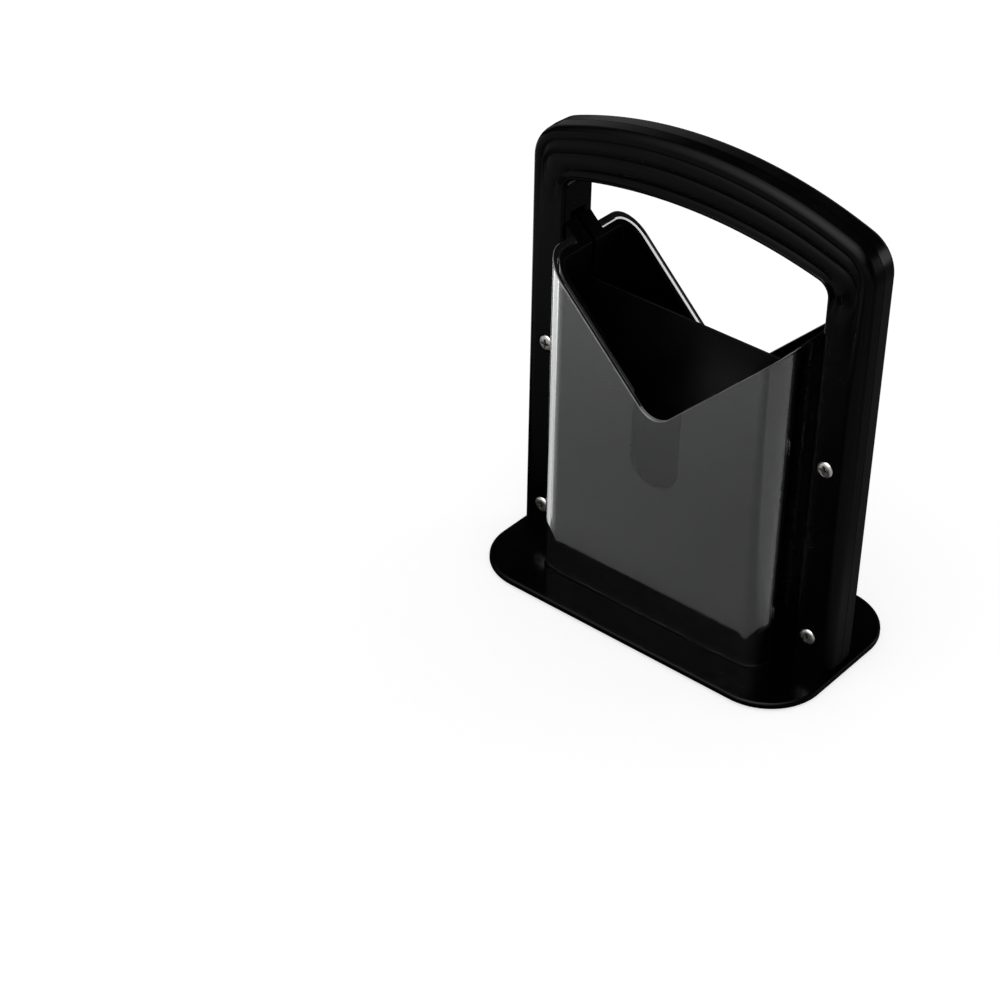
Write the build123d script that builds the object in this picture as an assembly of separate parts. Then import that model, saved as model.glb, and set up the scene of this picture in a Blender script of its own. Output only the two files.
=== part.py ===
from build123d import *
import os

os.makedirs("parts", exist_ok=True)

# A bagel slicer that works like a guillotine, standing on its base plate.
# X runs along the blade, -Y is the front and +Z is up.
# The origin is on the floor under the middle of the base.
# Two fixed pocket halves hold the bagel, each a black guide wall with a clear shield in front of it.
# The blade hangs between them in an arched handle.
# The handle's two legs are channels that ride on the guides' rails.
# All lengths are millimetres.

# Base plate
base_length = 184.0
base_depth = 99.0
base_corner_radius = 28.5
base_thickness = 3.0
base_web = 1.8
base_rim = 5.0
base_edge_chamfer = 1.0
foot_height = 1.8
foot_radius = 6.0
foot_recess = 1.0
foot_inset_x = 20.0
foot_inset_y = 17.0
foot_pad_wall = 2.5
base_rib = 2.4
base_rib_spacing = 42.0
blade_groove_band = 9.0
blade_groove_width = 2.6
blade_groove_depth = 1.3

# Pocket half: black guide wall
guide_half_width = 62.0
guide_half_depth = 27.3
guide_corner_radius = 9.0
guide_wall = 2.4
guide_top = 177.5
blade_slot_half = 1.0
flange_thickness = 2.4
rail_thickness = 2.4
rail_reach = 11.0
rail_depth = 6.1
column_reach = 6.9
column_depth = 8.0
column_wall = 2.0
column_cap = 3.0
finger_slot_half_width = 13.2
finger_slot_bottom = 76.0
notch_apex = 108.8
notch_slope_share = 0.982
notch_round = 11.0
boss_radius = 4.0
boss_height = 12.4
boss_step = 5.8
boss_cap = 1.6

# Pocket half: clear shield
shield_side_gap = 0.6
shield_front_gap = 1.2
shield_corner_step = 3.0
shield_wall = 2.2
shield_groove = 0.6
shield_fit = 0.1

# Handle: arch and legs
leg_gap = 0.4
leg_reach = 14.5
hand_room = 21.0
opening_rise = 9.5
opening_corner_radius = 7.0
arch_depth = 27.0
arch_rise = 18.6
handle_half_depth = 10.5
handle_corner_radius = 19.0
seat_gap = 0.3
outer_round = 5.4
inner_chamfer = 1.6
corner_stock = 1.0
shell_wall = 2.6
grip_upper_share = 0.2
grip_lower_share = 0.778
grip_straight_inset = 7.3
grip_turn_side = 7.1
grip_turn_shoulder_drop = 8.3
grip_turn_crown_drop = 11.8
grip_turn_radius = 11.0
grip_turn_rise = 0.4
groove_width = 2.4
groove_depth = 0.8

# Handle: channel in each leg that rides on the rails
slide_clearance = 0.4
channel_head = 3.0
lip_thickness = 0.9
mouth_half_depth = 5.0
channel_floor = 2.0

# Blade
blade_thickness = 1.2
blade_top = 148.5
blade_point = 3.0
blade_edge_rise = 11.0
blade_end_clearance = 0.8
blade_tab_half_height = 6.0
blade_tab_reach = 8.6
blade_tab_hole_radius = 1.7
blade_corner_radius = 3.0
tooth_pitch = 6.5
tooth_depth = 1.3
grind_height = 7.0
grind_land = 0.3

# Screws
handle_screw_inset = 1.8
handle_screw_low = 20.3
handle_screw_high = 111.4
screw_radius = 1.5
screw_head_radius = 4.0
screw_head_height = 1.9
screw_head_sunk = 1.0
screw_head_clearance = 0.4
screw_boss_half = 3.5
screw_tip_gap = 0.7
cross_length = 4.8
cross_width = 1.3
cross_depth = 1.0
base_screw_length = 9.0
base_screw_head_height = 1.5
base_screw_pad_wall = 2.0

# Pins that line up the two handle shells
pin_half = 1.4
pin_reach = 3.0
pin_boss_half = 3.2
pin_clearance = 0.1
pin_spacing = 36.0
rib_thickness = 1.6
rib_spacing = 24.0

# One overrun for every cut
over = 2.0

# Places worked out from the sizes above
base_bottom = foot_height - foot_recess
base_top = base_bottom + base_thickness
rail_outer = guide_half_width + rail_reach
rail_face = blade_slot_half + rail_depth
flange_face = blade_slot_half + flange_thickness
column_face = blade_slot_half + column_depth
column_outer = guide_half_width + column_reach
shield_back = column_face - shield_groove
shield_half_width = guide_half_width + shield_side_gap + shield_wall
shield_half_depth = guide_half_depth + shield_front_gap + shield_wall
shield_corner_radius = guide_corner_radius + shield_corner_step
channel_half_depth = rail_face + slide_clearance
channel_outer = rail_outer + slide_clearance
channel_top = guide_top + channel_head
web_outer = channel_outer + channel_floor
opening_half_width = column_outer + leg_gap
opening_shoulder = guide_top + hand_room
opening_crown = opening_shoulder + opening_rise
lip_outer = opening_half_width + lip_thickness
handle_half_width = web_outer + leg_reach
handle_crown = opening_crown + arch_depth
handle_shoulder = handle_crown - arch_rise
handle_screw_x = web_outer + handle_screw_inset
grip_straight = opening_half_width - grip_straight_inset
grip_turn_half_width = handle_half_width - grip_turn_side
grip_turn_shoulder = handle_shoulder - grip_turn_shoulder_drop
grip_turn_crown = handle_crown - grip_turn_crown_drop
grip_turn_end = opening_shoulder + grip_turn_rise
leg_bottom = base_top + seat_gap
cavity_depth = handle_half_depth - shell_wall
blade_half_length = channel_outer - blade_end_clearance
screw_heights = (handle_screw_low, handle_screw_high)
boss_x = guide_half_width - boss_step
boss_y = guide_half_depth - boss_step
foot_x = base_length / 2 - foot_inset_x
foot_y = base_depth / 2 - foot_inset_y


def block(x_low, x_high, y_low, y_high, z_low, z_high):
    """A box given by its six faces."""
    size = (x_high - x_low, y_high - y_low, z_high - z_low)
    centre = ((x_high + x_low) / 2, (y_high + y_low) / 2, (z_high + z_low) / 2)
    return Pos(*centre) * Box(*size)


def upright(radius, x, y, z_low, z_high):
    """A round bar along Z."""
    return Pos(x, y, (z_low + z_high) / 2) * Cylinder(radius, z_high - z_low)


def crossbar(radius, x, z, y_low, y_high):
    """A round bar along Y."""
    return Pos(x, (y_low + y_high) / 2, z) * Rot(90, 0, 0) * Cylinder(radius, y_high - y_low)


def both_sides(shape):
    """The shape and its mirror image across the middle of the width."""
    return shape + mirror(shape, Plane.YZ)


def rear(shape):
    """The rear twin of a front piece."""
    return mirror(shape, Plane.XZ)


def notch():
    """The prism that cuts the V across a pocket half, with its bottom rounded."""
    rise = guide_top + over - notch_apex
    reach = rise / notch_slope_share
    with BuildSketch(Plane.XZ) as section:
        with BuildLine():
            Polyline((0, notch_apex), (reach, notch_apex + rise), (-reach, notch_apex + rise), close=True)
        make_face()
        fillet(section.vertices().sort_by(Axis.Y)[0], notch_round)
    return extrude(section.sketch, shield_half_depth + over)


def finger_slot():
    """The U that lets a thumb hold the bagel through the guide wall."""
    centre = finger_slot_bottom + finger_slot_half_width
    wall_face = guide_half_depth - guide_wall
    front = guide_half_depth + over
    back = over - wall_face
    bottom = crossbar(finger_slot_half_width, 0, centre, -front, back)
    sides = block(-finger_slot_half_width, finger_slot_half_width, -front, back, centre, guide_top)
    return bottom + sides


def cup(half_width, half_depth, corner_radius, wall, back):
    """Plan of a wall bent round the front and both sides, open along the plane y = -back."""
    outside = RectangleRounded(2 * half_width, 2 * half_depth, corner_radius)
    inside = RectangleRounded(2 * (half_width - wall), 2 * (half_depth - wall), corner_radius - wall)
    keep = Pos(0, -(half_depth + back) / 2) * Rectangle(2 * half_width, half_depth - back)
    return (outside - inside) & keep


def make_guide():
    """Front guide wall with its columns, rails, finger slot and screw bosses."""
    plan = cup(guide_half_width, guide_half_depth, guide_corner_radius, guide_wall, blade_slot_half)
    guide = Pos(0, 0, base_top) * extrude(plan, guide_top - base_top)
    inside = guide_half_width - guide_wall
    column = block(inside, column_outer, -column_face, -blade_slot_half, base_top, guide_top)
    flange = block(guide_half_width, rail_outer, -flange_face, -blade_slot_half, base_top, guide_top)
    rail = block(rail_outer - rail_thickness, rail_outer, -rail_face, -blade_slot_half, base_top, guide_top)
    guide += both_sides(column + flange + rail)
    hollow_top = notch_apex + guide_half_width * notch_slope_share - column_cap
    hollow_outer = column_outer - column_wall
    hollow_front = column_face - column_wall
    below = base_top - over
    hollow = block(guide_half_width, hollow_outer, -hollow_front, -flange_face, below, hollow_top)
    guide -= both_sides(hollow)
    guide -= notch()
    guide -= finger_slot()
    boss = upright(boss_radius, boss_x, -boss_y, base_top, base_top + boss_height)
    guide += both_sides(boss)
    bore = upright(screw_radius, boss_x, -boss_y, below, base_top + boss_height - boss_cap)
    guide -= both_sides(bore)
    groove_inner = shield_half_width - shield_wall - shield_fit
    groove_outer = shield_half_width + shield_fit
    front = column_face + over
    groove = block(groove_inner, groove_outer, -front, -shield_back, below, guide_top + over)
    return guide - both_sides(groove)


def make_shield():
    """Front clear shield, bent round the guide wall, with its rear edges in the columns' grooves."""
    plan = cup(shield_half_width, shield_half_depth, shield_corner_radius, shield_wall, shield_back)
    shield = Pos(0, 0, base_top) * extrude(plan, guide_top - base_top)
    return shield - notch()


def arch_outline(half_width, shoulder, crown, corner_radius, bottom):
    """Outline in the XZ plane of a doorway with upright sides, round corners and an arched top."""
    with BuildSketch(Plane.XZ) as outline:
        with BuildLine():
            Line((-half_width, shoulder), (-half_width, bottom))
            Line((-half_width, bottom), (half_width, bottom))
            Line((half_width, bottom), (half_width, shoulder))
            ThreePointArc((half_width, shoulder), (0, crown), (-half_width, shoulder))
        make_face()
        top_corners = outline.vertices().group_by(Axis.Y)[-1]
        fillet(top_corners, corner_radius)
    return outline.sketch


def between(outer, inner, share):
    """A size part of the way from the handle's outer outline to its opening."""
    return outer + (inner - outer) * share


def groove_cutter(half_width, shoulder, crown, corner_radius):
    """Band along an arch outline that cuts one grip groove into the front face."""
    half = groove_width / 2
    outside = arch_outline(
        half_width + half,
        shoulder + half,
        crown + half,
        corner_radius + half,
        leg_bottom,
    )
    inside = arch_outline(
        half_width - half,
        shoulder - half,
        crown - half,
        corner_radius - half,
        leg_bottom - over,
    )
    floor = groove_depth - handle_half_depth
    return Pos(0, floor, 0) * extrude(outside - inside, groove_depth + over)


def shared_groove(share):
    """Groove a share of the way from the handle's outline to its opening."""
    return groove_cutter(
        between(handle_half_width, opening_half_width, share),
        between(handle_shoulder, opening_shoulder, share),
        between(handle_crown, opening_crown, share),
        between(handle_corner_radius, opening_corner_radius, share),
    )


def grip_grooves():
    """Three grooves along the front of the arch; the middle one turns in to the opening at both legs."""
    front = handle_half_depth + over
    floor = groove_depth - handle_half_depth
    above = block(-handle_half_width, handle_half_width, -front, 0, grip_turn_end, handle_crown)
    middle = block(-grip_straight, grip_straight, -front, 0, grip_turn_end, handle_crown)
    turn = groove_cutter(grip_turn_half_width, grip_turn_shoulder, grip_turn_crown, grip_turn_radius)
    hook_x = (grip_turn_half_width + opening_half_width) / 2
    hook_radius = grip_turn_half_width - hook_x
    disc = crossbar(hook_radius + groove_width / 2, hook_x, grip_turn_end, -front, floor)
    hub = crossbar(hook_radius - groove_width / 2, hook_x, grip_turn_end, -front, floor)
    below = block(-handle_half_width, handle_half_width, -front, 0, leg_bottom, grip_turn_end)
    return [
        shared_groove(grip_upper_share) & middle,
        turn & above,
        both_sides(disc - hub) & below,
        shared_groove(grip_lower_share) & middle,
    ]


def front_rim(body):
    """Edges round the front face, apart from those across the bottoms of the legs."""
    front_face = body.faces().sort_by(Axis.Y)[0]
    return front_face.edges().filter_by(lambda edge: edge.center().Z > leg_bottom + over)


def make_shell():
    """Front half of the handle: a moulded arch and two legs, open towards the rear half."""
    outline = arch_outline(
        handle_half_width,
        handle_shoulder,
        handle_crown,
        handle_corner_radius,
        leg_bottom,
    )
    body = extrude(outline, handle_half_depth)
    body = fillet(front_rim(body), outer_round)
    opening = arch_outline(
        opening_half_width,
        opening_shoulder,
        opening_crown,
        opening_corner_radius,
        leg_bottom - over,
    )
    body -= extrude(opening, handle_half_depth + over)
    side = opening_half_width + over
    top = opening_crown + over
    inner_rim = front_rim(body).filter_by(lambda edge: abs(edge.center().X) < side)
    body = chamfer(inner_rim.filter_by(lambda edge: edge.center().Z < top), inner_chamfer)

    inset = shell_wall + corner_stock
    hollow_outer = arch_outline(
        handle_half_width - inset,
        handle_shoulder - inset,
        handle_crown - inset,
        handle_corner_radius - inset,
        leg_bottom + shell_wall,
    )
    hollow_inner = arch_outline(
        opening_half_width + shell_wall,
        opening_shoulder + shell_wall,
        opening_crown + shell_wall,
        opening_corner_radius + shell_wall,
        leg_bottom,
    )
    hollow = extrude(hollow_outer - hollow_inner, cavity_depth)
    front = -handle_half_depth
    web = block(opening_half_width, web_outer, front, 0, leg_bottom, channel_top + channel_floor)
    hollow -= both_sides(web)
    thin = rib_thickness / 2
    for x in (-rib_spacing, rib_spacing):
        hollow -= block(x - thin, x + thin, front, 0, opening_shoulder, handle_crown)
    body -= hollow

    below = leg_bottom - over
    beside = opening_half_width - over
    channel = block(lip_outer, channel_outer, -channel_half_depth, over, below, channel_top)
    mouth = block(beside, lip_outer, -mouth_half_depth, over, below, channel_top)
    body -= both_sides(channel + mouth)
    for groove in grip_grooves():
        body -= groove
    return body


def tab_slots(side):
    """Recesses half a blade deep in one shell, where the blade's tabs pass through the channel floor."""
    low, high = sorted((0, side * blade_thickness / 2))
    inner = channel_outer - over
    outer = web_outer + over
    tall = blade_tab_half_height
    return [both_sides(block(inner, outer, low, high, z - tall, z + tall)) for z in screw_heights]


def post(x, z, half, y_low, y_high):
    """A square post along Y, as the screw and pin bosses inside the handle are."""
    return block(x - half, x + half, y_low, y_high, z - half, z + half)


def make_front_shell():
    """Front shell with its screw bosses, sunk screw seats and lining-up pins."""
    shell = make_shell()
    half = blade_thickness / 2
    root = -cavity_depth - shell_wall / 2
    front = -handle_half_depth - over
    seat_floor = screw_head_sunk - handle_half_depth
    seat_radius = screw_head_radius + screw_head_clearance
    for cut in tab_slots(-1):
        shell -= cut
    for z in screw_heights:
        shell += both_sides(post(handle_screw_x, z, screw_boss_half, root, -half))
        bore = crossbar(screw_radius, handle_screw_x, z, front, over)
        seat = crossbar(seat_radius, handle_screw_x, z, front, seat_floor)
        shell -= both_sides(bore + seat)
    for x, z in pin_places():
        shell += post(x, z, pin_boss_half, root, 0)
        shell += post(x, z, pin_half, -cavity_depth, pin_reach)
    return shell


def make_rear_shell():
    """Rear shell with blind screw bosses and the sockets of the lining-up pins."""
    shell = rear(make_shell())
    half = blade_thickness / 2
    root = cavity_depth + shell_wall / 2
    for cut in tab_slots(1):
        shell -= cut
    for z in screw_heights:
        shell += both_sides(post(handle_screw_x, z, screw_boss_half, half, root))
        shell -= both_sides(crossbar(screw_radius, handle_screw_x, z, -over, cavity_depth))
    for x, z in pin_places():
        shell += post(x, z, pin_boss_half, 0, root)
        shell -= post(x, z, pin_half + pin_clearance, -over, pin_reach + pin_clearance)
    return shell


def pin_places():
    """Where the two lining-up pins stand in the middle of the arch."""
    middle = (handle_crown + opening_crown) / 2
    fall = handle_crown - handle_shoulder
    z = middle - fall * (pin_spacing / handle_half_width) ** 2
    return ((-pin_spacing, z), (pin_spacing, z))


def make_blade():
    """Coated blade with a pointed, scalloped and ground lower edge and four tabs that the legs clamp."""
    half = blade_thickness / 2
    edge_end = blade_point + blade_edge_rise
    with BuildSketch(Plane.XZ) as sheet:
        with BuildLine():
            Polyline(
                (0, blade_point),
                (blade_half_length, edge_end),
                (blade_half_length, blade_top),
                (-blade_half_length, blade_top),
                (-blade_half_length, edge_end),
                close=True,
            )
        make_face()
        fillet(sheet.vertices().group_by(Axis.Y)[-1], blade_corner_radius)
    tab_end = blade_half_length + blade_tab_reach
    tab_height = 2 * blade_tab_half_height
    outline = sheet.sketch
    for z in screw_heights:
        for side in (-1, 1):
            low, high = sorted((side * (blade_half_length - over), side * tab_end))
            centre = Plane.XZ * Pos((low + high) / 2, z)
            outline += centre * RectangleRounded(high - low, tab_height, blade_corner_radius / 2)
            outline -= Plane.XZ * Pos(side * handle_screw_x, z) * Circle(blade_tab_hole_radius)
    blade = Pos(0, half, 0) * extrude(outline, blade_thickness)
    return blade - blade_scallops() - blade_grind()


def blade_scallops():
    """Round bites along the lower edge, one each pitch, which leave the teeth between them."""
    bite = tooth_pitch / 2
    radius = (bite * bite + tooth_depth * tooth_depth) / (2 * tooth_depth)
    run = Vector(blade_half_length, 0, blade_edge_rise).length
    count = int(run / tooth_pitch)
    along_x = blade_half_length / run
    along_z = blade_edge_rise / run
    bites = []
    for step in range(count):
        distance = (2 * step + 1) * bite
        x = distance * along_x + (radius - tooth_depth) * along_z
        z = blade_point + distance * along_z - (radius - tooth_depth) * along_x
        bites.append(crossbar(radius, x, z, -blade_thickness, blade_thickness))
        bites.append(crossbar(radius, -x, z, -blade_thickness, blade_thickness))
    return Compound(bites)


def blade_grind():
    """Wedges off both faces along the lower edge, so that the teeth come to a thin land."""
    half = blade_thickness / 2
    land = grind_land / 2
    slant = blade_edge_rise / blade_half_length
    reach = blade_half_length + over
    wedges = []
    for side in (-1, 1):
        with BuildSketch(Plane.YZ) as section:
            with BuildLine():
                Polyline(
                    (side * land, blade_point - over),
                    (side * land, blade_point),
                    (side * half, blade_point + grind_height),
                    (side * (half + over), blade_point + grind_height),
                    (side * (half + over), blade_point - over),
                    close=True,
                )
            make_face()
        direction = Vector(reach, 0, reach * slant)
        for way in (-1, 1):
            path = Vector(way * direction.X, 0, direction.Z)
            wedges.append(extrude(section.sketch, amount=path.length, dir=path))
    return Compound(wedges)


def make_handle_screw(x, z):
    """Pan head screw from the front of a leg into the rear shell, with a cross recess."""
    seat = handle_half_depth - screw_head_sunk
    tip = cavity_depth - screw_tip_gap
    head_face = seat + screw_head_height
    shank = crossbar(screw_radius, x, z, -seat, tip)
    head = crossbar(screw_head_radius, x, z, -head_face, -seat)
    head = chamfer(head.edges().sort_by(Axis.Y)[0], screw_head_height / 2)
    floor = cross_depth - head_face
    arm = cross_length / 2
    thin = cross_width / 2
    flat = block(x - arm, x + arm, -head_face - over, floor, z - thin, z + thin)
    tall = block(x - thin, x + thin, -head_face - over, floor, z - arm, z + arm)
    return shank + head - flat - tall


def make_base():
    """Base plate with ribs and seats underneath and a groove on top for the blade's edge."""
    plan = RectangleRounded(base_length, base_depth, base_corner_radius)
    plate = Pos(0, 0, base_bottom) * extrude(plan, base_thickness)
    plate = chamfer(plate.faces().sort_by(Axis.Z)[-1].edges(), base_edge_chamfer)
    field_length = base_length - 2 * base_rim
    field_depth = base_depth - 2 * base_rim
    field = RectangleRounded(field_length, field_depth, base_corner_radius - base_rim)
    ribs = Rectangle(base_length, blade_groove_band)
    for step in (-1, 0, 1):
        ribs += Pos(step * base_rib_spacing, 0) * Rectangle(base_rib, base_depth)
    foot_pad = 2 * (foot_radius + foot_pad_wall)
    screw_pad = 2 * (screw_head_radius + screw_head_clearance + base_screw_pad_wall)
    for x in (-1, 1):
        for y in (-1, 1):
            ribs += Pos(x * foot_x, y * foot_y) * Rectangle(foot_pad, foot_pad)
            ribs += Pos(x * boss_x, y * boss_y) * Rectangle(screw_pad, screw_pad)
    recess = extrude(field - ribs, base_thickness - base_web + over)
    plate -= Pos(0, 0, base_bottom - over) * recess
    for x in (-foot_x, foot_x):
        for y in (-foot_y, foot_y):
            plate -= upright(foot_radius, x, y, base_bottom - over, base_bottom + foot_recess)
    for x in (-boss_x, boss_x):
        for y in (-boss_y, boss_y):
            seat = base_bottom + base_screw_head_height
            plate -= upright(screw_head_radius + screw_head_clearance, x, y, base_bottom - over, seat)
            plate -= upright(screw_radius, x, y, base_bottom - over, base_top + over)
    groove_end = guide_half_width - guide_wall
    half = blade_groove_width / 2
    floor = base_top - blade_groove_depth
    return plate - block(-groove_end, groove_end, -half, half, floor, base_top + over)


def make_foot(x, y):
    """Soft round foot pressed into the underside of the base plate."""
    return upright(foot_radius, x, y, 0, foot_height)


def make_base_screw(x, y):
    """Pan head screw from under the base plate up into a guide's boss."""
    seat = base_bottom + base_screw_head_height
    head = upright(screw_head_radius, x, y, base_bottom, seat)
    return head + upright(screw_radius, x, y, seat, seat + base_screw_length)


parts = {
    "base_plate": make_base(),
    "front_guide": make_guide(),
    "rear_guide": rear(make_guide()),
    "front_shield": make_shield(),
    "rear_shield": rear(make_shield()),
    "handle_front_shell": make_front_shell(),
    "handle_rear_shell": make_rear_shell(),
    "blade": make_blade(),
}
parts["handle_screws"] = Compound(
    [make_handle_screw(x, z) for x in (-handle_screw_x, handle_screw_x) for z in screw_heights]
)
parts["base_screws"] = Compound(
    [make_base_screw(x, y) for x in (-boss_x, boss_x) for y in (-boss_y, boss_y)]
)
for end, x in (("left", -foot_x), ("right", foot_x)):
    for face, y in (("front", -foot_y), ("rear", foot_y)):
        parts[f"foot_{face}_{end}"] = make_foot(x, y)

for name, shape in parts.items():
    export_step(shape, f"parts/{name}.step")
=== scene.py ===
# %% [markdown]
# A bagel slicer that works like a guillotine. Two black guide walls stand on a base plate with a clear
# shield round each, and a blade hangs between them in an arched handle that slides up and down on their
# rails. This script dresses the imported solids: it builds smooth pieces over them, gives each one a material
# made of shader nodes, and sets up the camera, the floor and the light.

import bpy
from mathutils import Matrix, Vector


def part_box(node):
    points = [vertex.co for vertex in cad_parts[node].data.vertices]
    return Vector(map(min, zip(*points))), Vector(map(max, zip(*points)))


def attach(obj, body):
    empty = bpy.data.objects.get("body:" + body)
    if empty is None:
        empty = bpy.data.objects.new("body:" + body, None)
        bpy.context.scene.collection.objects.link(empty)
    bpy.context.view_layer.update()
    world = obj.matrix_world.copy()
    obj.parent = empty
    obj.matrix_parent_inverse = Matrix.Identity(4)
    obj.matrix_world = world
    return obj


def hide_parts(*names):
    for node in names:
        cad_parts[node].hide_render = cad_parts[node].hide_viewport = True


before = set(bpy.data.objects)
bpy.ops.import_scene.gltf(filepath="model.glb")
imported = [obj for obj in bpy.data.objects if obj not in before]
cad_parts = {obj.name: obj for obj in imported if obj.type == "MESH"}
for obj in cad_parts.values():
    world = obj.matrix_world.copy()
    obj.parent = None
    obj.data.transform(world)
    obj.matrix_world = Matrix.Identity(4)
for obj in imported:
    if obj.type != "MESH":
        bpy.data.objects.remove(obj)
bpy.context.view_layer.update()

import math

import bmesh
import bpy
import numpy as np
from mathutils import Matrix, Vector

mm = 0.001

# %% [markdown]
# The camera stands where the photographer stood: to the right of the front, a good metre away and well
# above the table, with a long lens. The place is written as a heading, a height angle and a distance from
# the origin, and the framing as a slide sideways and upwards, which is easier to change than a bare matrix.

# %% Camera
camera_heading = math.radians(39.781)
camera_height_angle = math.radians(35.603)
camera_roll = math.radians(0.848)
camera_distance = 1197.652 * mm
camera_slide_right = -86.051 * mm
camera_slide_up = 41.064 * mm
camera_rise = 1.5 * mm
sensor_width = 36.0
focal_length_in_pixels = 2542.264
image_width_in_pixels = 1000
nearest_seen = 10 * mm
farthest_seen = 100.0


def new_object(name, data):
    """An object in the scene that shows this data."""
    thing = bpy.data.objects.new(name, data)
    bpy.context.scene.collection.objects.link(thing)
    return thing


def aim_camera():
    """Makes the camera and turns it to the object, rolled by a hair as the photograph is."""
    level = math.cos(camera_height_angle)
    forward = Vector((-math.sin(camera_heading) * level, math.cos(camera_heading) * level,
                      -math.sin(camera_height_angle)))
    right = Vector((math.cos(camera_heading), math.sin(camera_heading), 0))
    up = right.cross(forward)
    standpoint = -forward * camera_distance + right * camera_slide_right + up * camera_slide_up
    standpoint.z += camera_rise
    rolled_right = right * math.cos(camera_roll) + up * math.sin(camera_roll)
    rolled_up = up * math.cos(camera_roll) - right * math.sin(camera_roll)
    lens = bpy.data.cameras.new("photo_camera")
    lens.sensor_width = sensor_width
    lens.lens = focal_length_in_pixels * sensor_width / image_width_in_pixels
    lens.clip_start = nearest_seen
    lens.clip_end = farthest_seen
    camera = new_object("photo_camera", lens)
    turn = Matrix((rolled_right, rolled_up, -forward)).transposed()
    camera.matrix_world = Matrix.Translation(standpoint) @ turn.to_4x4()
    bpy.context.scene.camera = camera
    return camera


camera = aim_camera()
print("lens", round(camera.data.lens, 2), "mm at", [round(v, 3) for v in camera.location])

# %% [markdown]
# Most pieces here are flat plates, bars and bent walls, so a few helpers go a long way. One makes an object
# from points and faces, one joins two rows of points by a strip of quads, and one extrudes an outline into
# a prism. Blender has all of these as commands, but a list of points keeps every size in plain sight.

# %% Mesh helpers
weld_distance = 0.001 * mm


def add_object(name, points, faces):
    """A mesh object from points and faces, with its normals pointing outwards."""
    mesh = bpy.data.meshes.new(name)
    mesh.from_pydata([tuple(p) for p in points], [], faces)
    shape = bmesh.new()
    shape.from_mesh(mesh)
    bmesh.ops.remove_doubles(shape, verts=shape.verts, dist=weld_distance)
    bmesh.ops.recalc_face_normals(shape, faces=shape.faces)
    shape.to_mesh(mesh)
    shape.free()
    return new_object(name, mesh)


def strip(first, second, count, closed=True):
    """Quads between two rows of points, which start at these point numbers."""
    steps = count if closed else count - 1
    return [(first + k, first + (k + 1) % count, second + (k + 1) % count, second + k) for k in range(steps)]


def prism(name, outline, low, high, along="z"):
    """Extrudes a flat outline from low to high along z or along y."""
    count = len(outline)
    points = [(u, v, w) if along == "z" else (u, w, v) for w in (low, high) for u, v in outline]
    caps = [tuple(range(count)), tuple(range(2 * count - 1, count - 1, -1))]
    return add_object(name, points, strip(0, count, count) + caps)


def rectangle(x, y, half_x, half_y):
    left, right, low, high = x - half_x, x + half_x, y - half_y, y + half_y
    return [(left, low), (right, low), (right, high), (left, high)]


def arc(centre, radius, start, end, steps):
    """Points on an arc, angles in degrees."""
    angles = np.radians(np.linspace(start, end, steps + 1))
    return [(centre[0] + radius * math.cos(a), centre[1] + radius * math.sin(a)) for a in angles]


def circle(centre, radius, steps=64):
    return arc(centre, radius, 0, 360 * (steps - 1) / steps, steps - 1)


# %% [markdown]
# Modifiers do the rest: a Boolean cuts one piece with others, a Bevel rounds sharp edges, and Weighted
# Normal keeps flat faces flat beside them. Real mouldings have no knife edges, and the thin highlights on
# rounded edges are what make a render of plain black plastic readable. Each modifier is applied at once,
# which leaves a plain mesh. The last helper hangs a piece on the moving body it rides on, gives it its
# material and hides the solids it stands in for.

# %% Cutting, rounding and placing
rounded_from = 28


def plain_mesh(piece):
    """Turns the piece with its modifiers into a plain mesh and takes the modifiers off."""
    shown = piece.evaluated_get(bpy.context.evaluated_depsgraph_get())
    mesh = bpy.data.meshes.new_from_object(shown)
    piece.modifiers.clear()
    piece.data = mesh
    return piece


def cut_out(piece, cutters):
    """Cuts the other pieces out of this one and removes them."""
    for cutter in cutters:
        change = piece.modifiers.new("change", "BOOLEAN")
        change.operation = "DIFFERENCE"
        change.solver = "EXACT"
        change.object = cutter
    plain_mesh(piece)
    for cutter in cutters:
        bpy.data.objects.remove(cutter)


def round_edges(piece, width, segments=2):
    """Rounds every edge sharper than an angle, so that it catches a thin highlight."""
    rounding = piece.modifiers.new("rounding", "BEVEL")
    rounding.width = width
    rounding.segments = segments
    rounding.limit_method = "ANGLE"
    rounding.angle_limit = math.radians(rounded_from)
    rounding.miter_outer = "MITER_ARC"
    rounding.use_clamp_overlap = True
    plain_mesh(piece)


def shade(piece, sharp_from=32):
    """Smooth shading with sharp edges kept, and flat faces kept flat."""
    piece.data.shade_smooth()
    piece.data.set_sharp_from_angle(angle=math.radians(sharp_from))
    weights = piece.modifiers.new("weights", "WEIGHTED_NORMAL")
    weights.keep_sharp = True
    plain_mesh(piece)


def set_material(piece, material):
    piece.data.materials.clear()
    piece.data.materials.append(material)


def place(piece, body, slot, material, *nodes):
    """Hangs the piece on the body it rides on, gives it its material, and hides the solids it stands in for.
    """
    set_material(piece, material)
    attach(piece, body)
    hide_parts(*nodes)
    print(piece.name, len(piece.data.polygons), "faces")


# %% [markdown]
# A finish is a network of nodes. Drawn by hand it is boxes and wires, and in code it reads best when adding
# a node and feeding its inputs is one call. An input takes a plain number or colour, or a wire from another
# node, so one helper does both, and the sums, ramps and noises that the finishes share get short names.

# %% Node helpers
def feed(tree, socket, value):
    """Sets a socket to a plain number or colour, or wires another node's output to it."""
    if isinstance(value, (int, float, tuple)):
        socket.default_value = value
    else:
        tree.links.new(value, socket)


def feed_inputs(tree, node, **values):
    """Feeds a node's inputs by name; underscores in the names stand for spaces."""
    for label, value in values.items():
        feed(tree, node.inputs[label.replace("_", " ")], value)


def add_node(tree, kind, **values):
    node = tree.nodes.new(kind)
    feed_inputs(tree, node, **values)
    return node


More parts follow.
